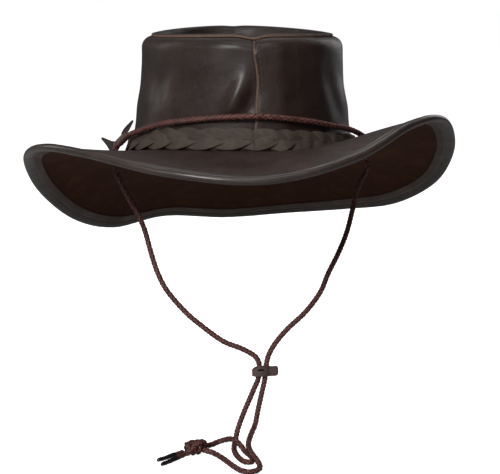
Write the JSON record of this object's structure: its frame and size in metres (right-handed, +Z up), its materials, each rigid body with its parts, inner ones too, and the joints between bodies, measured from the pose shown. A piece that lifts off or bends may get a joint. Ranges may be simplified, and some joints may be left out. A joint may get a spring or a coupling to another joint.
{
  "type": "leather outback hat",
  "caption": "Dark brown leather hat with a flat-topped crown, upswept brim, braided leather band and a cord that runs over the crown and under the chin with a slide.",
  "frame": {"origin": "middle of the head opening, level with the sides of the crown's base, where the hat sits on a head", "axes": "+Y towards the back of the hat, +X towards the viewer's right when its front is seen, +Z up"},
  "size_m": [0.3162, 0.35, 0.2975],
  "materials": {
    "crown_leather": "smooth oiled, soft sheen",
    "brim_leather": "smooth oiled above, brushed flesh side below",
    "binding_leather": "smooth, slightly worn",
    "band_leather": "matt braided",
    "tie_leather": "matt",
    "slide_leather": "matt",
    "braided_cord": "round braid",
    "cord_tip": "dipped, glossy"
  },
  "bodies": {
    "root": {"crown_panel_right": "crown_leather", "crown_panel_left": "crown_leather", "crown_tip": "crown_leather", "brim": "brim_leather", "brim_binding": "binding_leather", "hat_band": "band_leather", "band_knot": "tie_leather", "band_tail_upper": "tie_leather", "band_tail_lower": "tie_leather", "crown_cord": "braided_cord", "chin_cord_left": "braided_cord", "chin_cord_right": "braided_cord", "cord_slide": "slide_leather", "cord_knot": "braided_cord", "cord_tip_upper": "cord_tip", "cord_tip_lower": "cord_tip"}
  },
  "joints": []
}
